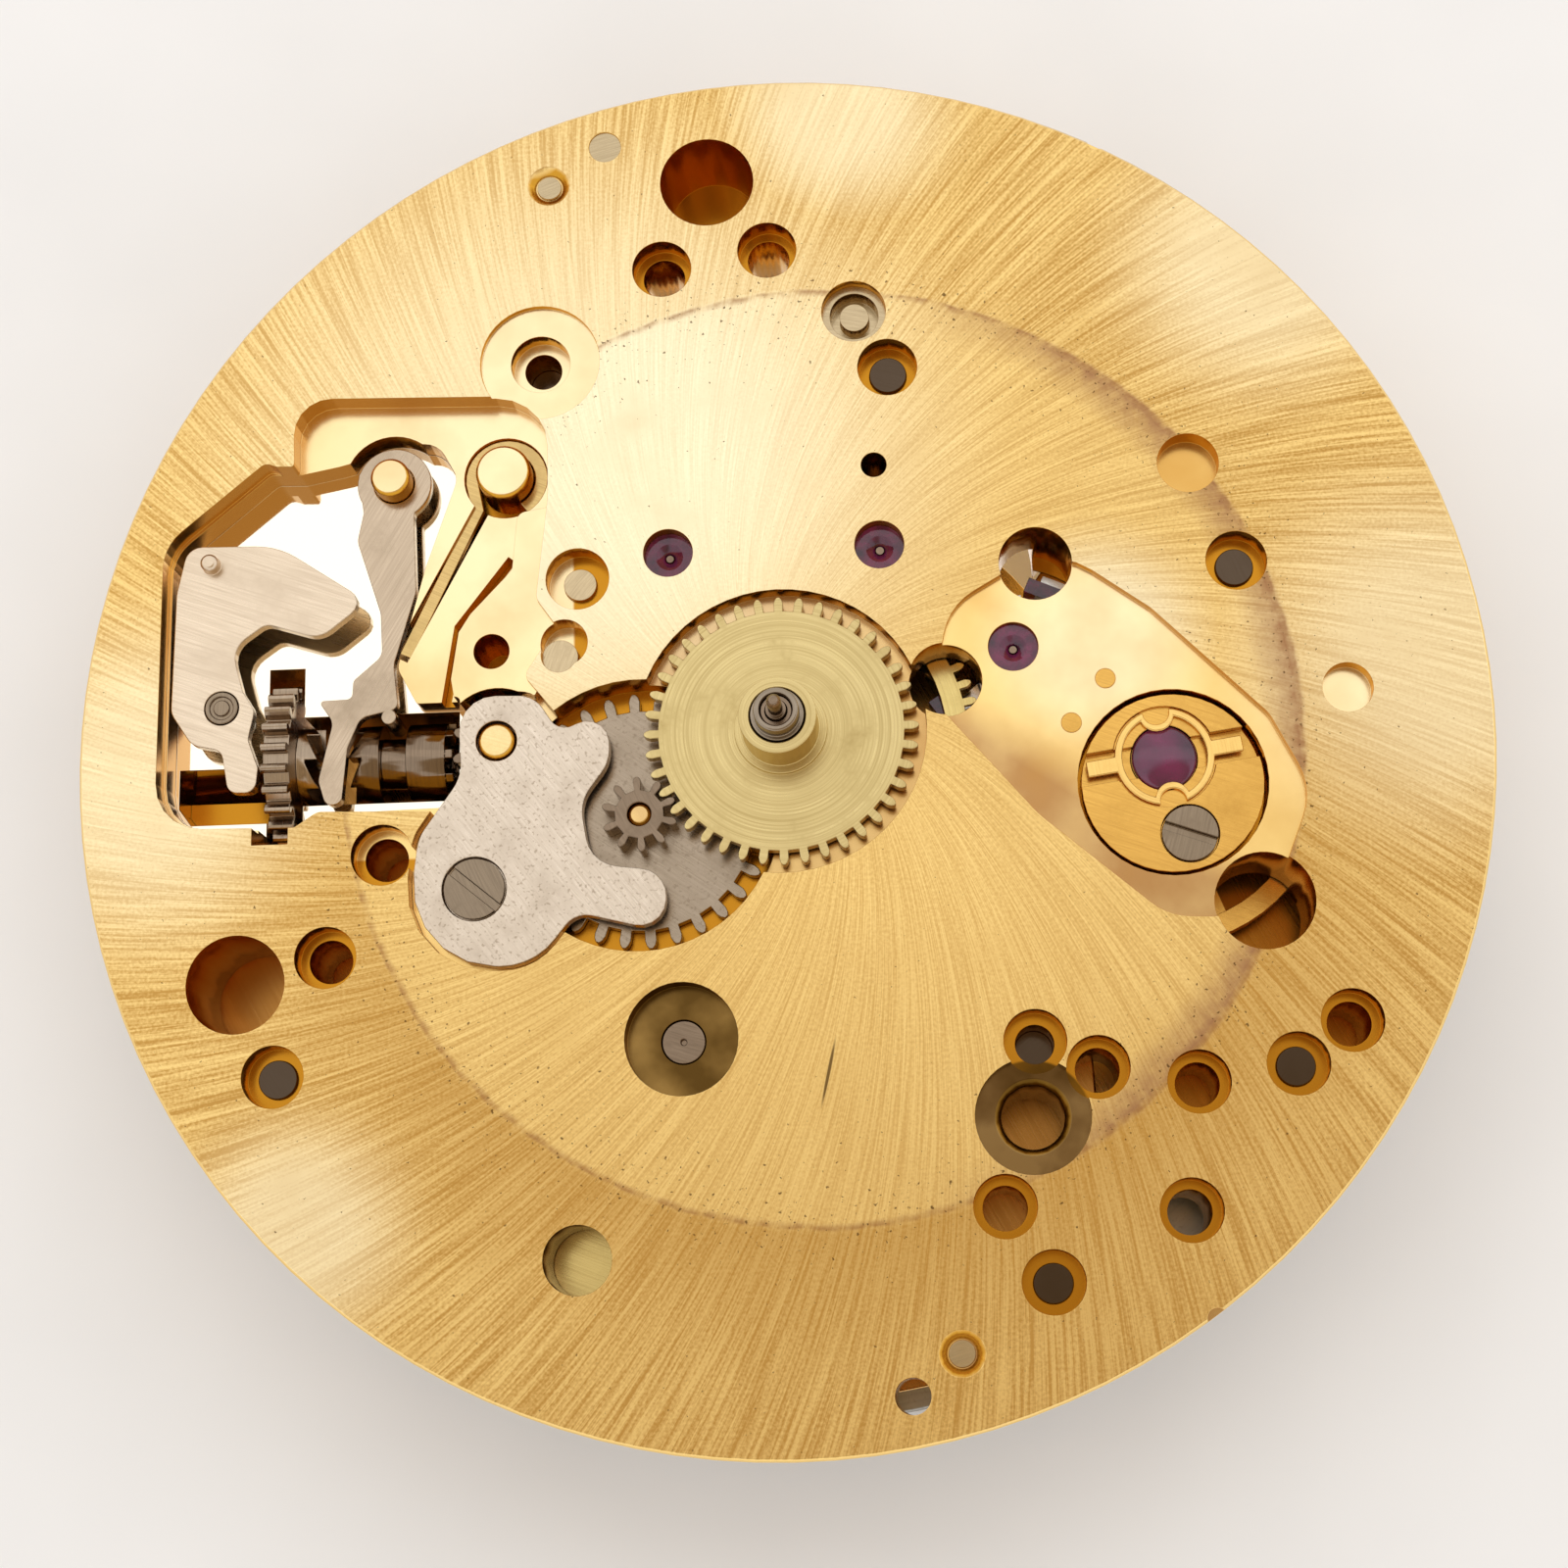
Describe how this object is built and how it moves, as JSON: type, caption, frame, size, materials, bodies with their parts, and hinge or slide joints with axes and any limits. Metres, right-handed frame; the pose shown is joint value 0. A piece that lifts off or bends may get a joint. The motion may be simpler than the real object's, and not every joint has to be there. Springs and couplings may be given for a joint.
{
  "type": "automatic watch movement",
  "caption": "Round automatic watch movement seen dial side up: gilt plate with motion work, keyless work, jewelled train, balance under a shock setting, and a winding rotor behind.",
  "frame": {"origin": "on the hands' axis, in the plane of the dial face", "axes": "+Z out of the dial side towards the viewer, -X along the winding stem as it comes out, +Y towards the top of the picture"},
  "size_m": [0.028, 0.028, 0.0082],
  "materials": {
    "gilt_plate": "gilt, swirl brushed",
    "gilt_bridge": "gilt, fine straight grain",
    "brass_wheel": "fine circular grain",
    "gilt": "bright gilding",
    "steel": "fine straight grain",
    "dark_steel": "polished",
    "polished_steel": "mirror polished",
    "spring_steel": "blued grey",
    "ruby": "clear red ruby",
    "tungsten": "matte"
  },
  "bodies": {
    "movement": {"main_plate": "gilt_plate", "plate_pins": "dark_steel", "banking_pins": "gilt", "motion_cover": "steel", "dial_side_screws": "polished_steel", "setting_lever_screw": "polished_steel", "plate_jewels": "ruby", "lower_shock_block": "gilt", "lower_cap_jewel": "ruby", "lower_lyre_spring": "gilt", "pallet_cock": "gilt_bridge", "train_bridge": "gilt_bridge", "barrel_bridge": "gilt_bridge", "balance_cock": "gilt_bridge", "upper_shock_setting": "gilt", "bridge_jewels": "ruby", "bridge_screws": "polished_steel", "automatic_bridge": "gilt_bridge", "rotor_screw": "dark_steel", "click_spring": "spring_steel", "yoke_spring": "spring_steel"},
    "hour": {"hour_wheel": "brass_wheel"},
    "cannon": {"cannon_pinion": "dark_steel"},
    "minute": {"minute_wheel": "steel", "minute_pinion": "dark_steel"},
    "setting": {"setting_wheel": "steel"},
    "centre": {"centre_pinion": "dark_steel", "centre_wheel": "brass_wheel"},
    "third": {"third_pinion": "dark_steel", "third_wheel": "brass_wheel"},
    "seconds": {"seconds_pinion": "dark_steel", "seconds_wheel": "brass_wheel"},
    "escape": {"escape_pinion": "dark_steel", "escape_wheel": "steel"},
    "pallets": {"pallet_arbor": "dark_steel", "pallet_fork": "steel", "pallet_stones": "ruby"},
    "balance": {"balance_staff": "dark_steel", "balance_wheel": "gilt", "roller": "dark_steel", "hairspring": "spring_steel"},
    "barrel": {"barrel_drum": "brass_wheel", "barrel_cover": "brass_wheel", "mainspring": "spring_steel"},
    "ratchet": {"barrel_arbor": "dark_steel", "ratchet_wheel": "steel", "ratchet_screw": "polished_steel"},
    "crown": {"crown_wheel": "steel"},
    "winding": {"winding_pinion": "dark_steel"},
    "clutch": {"sliding_pinion": "dark_steel"},
    "yoke": {"yoke": "steel"},
    "setting_lever": {"setting_lever": "steel"},
    "click": {"click": "steel"},
    "regulator": {"regulator": "steel"},
    "reverser_1": {"reversing_wheel_1": "steel"},
    "reverser_2": {"reversing_wheel_2": "steel"},
    "reduction": {"reduction_wheel": "brass_wheel"},
    "rotor": {"rotor": "gilt_bridge", "rotor_weight": "tungsten", "rotor_bearing": "polished_steel"}
  },
  "joints": [
    {"name": "seconds_spin", "type": "hinge", "parent": "movement", "child": "seconds", "pos_m": [0, 0, 0], "axis": [0, 0, 1], "continuous": true},
    {"name": "hour_spin", "type": "hinge", "parent": "movement", "child": "hour", "pos_m": [0, 0, 0], "axis": [0, 0, 1], "continuous": true},
    {"name": "cannon_spin", "type": "hinge", "parent": "movement", "child": "cannon", "pos_m": [0, 0, 0], "axis": [0, 0, 1], "continuous": true},
    {"name": "minute_spin", "type": "hinge", "parent": "movement", "child": "minute", "pos_m": [-0.00283, -0.0016, 0], "axis": [0, 0, 1], "continuous": true},
    {"name": "setting_wheel_spin", "type": "hinge", "parent": "movement", "child": "setting", "pos_m": [-0.00566, 0, 0], "axis": [0, 0, 1], "continuous": true},
    {"name": "centre_spin", "type": "hinge", "parent": "movement", "child": "centre", "pos_m": [0, 0, 0], "axis": [0, 0, 1], "continuous": true},
    {"name": "third_spin", "type": "hinge", "parent": "movement", "child": "third", "pos_m": [-0.00219, 0.00374, 0], "axis": [0, 0, 1], "continuous": true},
    {"name": "escape_spin", "type": "hinge", "parent": "movement", "child": "escape", "pos_m": [0.00206, 0.00374, 0], "axis": [0, 0, 1], "continuous": true},
    {"name": "barrel_spin", "type": "hinge", "parent": "movement", "child": "barrel", "pos_m": [-0.00206, -0.00606, 0], "axis": [0, 0, 1], "continuous": true},
    {"name": "balance_swing", "type": "hinge", "parent": "movement", "child": "balance", "pos_m": [0.00753, -0.00078, 0], "axis": [0, 0, 1], "range_deg": [-20, 20], "stiffness_Nm_per_rad": 0.000001},
    {"name": "pallet_swing", "type": "hinge", "parent": "movement", "child": "pallets", "pos_m": [0.00465, 0.00156, 0], "axis": [0, 0, 1], "range_deg": [-5.6, 5.6]},
    {"name": "rotor_spin", "type": "hinge", "parent": "movement", "child": "rotor", "pos_m": [0, 0, 0], "axis": [0, 0, 1], "continuous": true},
    {"name": "reverser_1_spin", "type": "hinge", "parent": "movement", "child": "reverser_1", "pos_m": [0.0039, 0.00008, 0], "axis": [0, 0, 1], "continuous": true},
    {"name": "reverser_2_spin", "type": "hinge", "parent": "movement", "child": "reverser_2", "pos_m": [-0.00122, -0.0037, 0], "axis": [0, 0, 1], "continuous": true},
    {"name": "reduction_spin", "type": "hinge", "parent": "movement", "child": "reduction", "pos_m": [0.00198, -0.00267, 0], "axis": [0, 0, 1], "continuous": true},
    {"name": "ratchet_spin", "type": "hinge", "parent": "movement", "child": "ratchet", "pos_m": [-0.00206, -0.00606, 0], "axis": [0, 0, 1], "continuous": true},
    {"name": "crown_spin", "type": "hinge", "parent": "movement", "child": "crown", "pos_m": [-0.00703, 0, 0], "axis": [0, 0, 1], "continuous": true},
    {"name": "winding_spin", "type": "hinge", "parent": "movement", "child": "winding", "pos_m": [-0.01014, 0, -0.00175], "axis": [1, 0, 0], "continuous": true},
    {"name": "clutch_slide", "type": "slide", "parent": "movement", "child": "clutch", "axis": [1, 0, 0], "range_m": [-0.00038, 0]},
    {"name": "yoke_swing", "type": "hinge", "parent": "movement", "child": "yoke", "pos_m": [-0.00787, 0.00565, 0], "axis": [0, 0, 1], "range_deg": [-4.5, 0]},
    {"name": "setting_lever_swing", "type": "hinge", "parent": "movement", "child": "setting_lever", "pos_m": [-0.01127, 0.00097, 0], "axis": [0, 0, 1], "range_deg": [-5, 0]},
    {"name": "click_swing", "type": "hinge", "parent": "movement", "child": "click", "pos_m": [-0.00807, -0.005, 0], "axis": [0, 0, 1], "range_deg": [0, 8]},
    {"name": "regulator_turn", "type": "hinge", "parent": "movement", "child": "regulator", "pos_m": [0.00753, -0.00078, 0], "axis": [0, 0, 1], "range_deg": [-12, 12]}
  ],
  "couplings": [
    {"joint": "third_spin", "follows": "seconds_spin", "ratio": -0.13333},
    {"joint": "centre_spin", "follows": "seconds_spin", "ratio": 0.016667},
    {"joint": "barrel_spin", "follows": "seconds_spin", "ratio": -0.0027778},
    {"joint": "escape_spin", "follows": "seconds_spin", "ratio": -10},
    {"joint": "cannon_spin", "follows": "seconds_spin", "ratio": 0.016667},
    {"joint": "minute_spin", "follows": "seconds_spin", "ratio": -0.0055556},
    {"joint": "hour_spin", "follows": "seconds_spin", "ratio": 0.0013889},
    {"joint": "setting_wheel_spin", "follows": "seconds_spin", "ratio": 0.016667},
    {"joint": "pallet_swing", "follows": "balance_swing", "ratio": -0.267},
    {"joint": "reverser_1_spin", "follows": "rotor_spin", "ratio": -1},
    {"joint": "reverser_2_spin", "follows": "rotor_spin", "ratio": -1},
    {"joint": "reduction_spin", "follows": "rotor_spin", "ratio": 0.16667},
    {"joint": "ratchet_spin", "follows": "rotor_spin", "ratio": -0.019048},
    {"joint": "crown_spin", "follows": "rotor_spin", "ratio": 0.028986},
    {"joint": "winding_spin", "follows": "rotor_spin", "ratio": -0.057971},
    {"joint": "yoke_swing", "follows": "clutch_slide", "rad_per_m": 202.84}
  ]
}
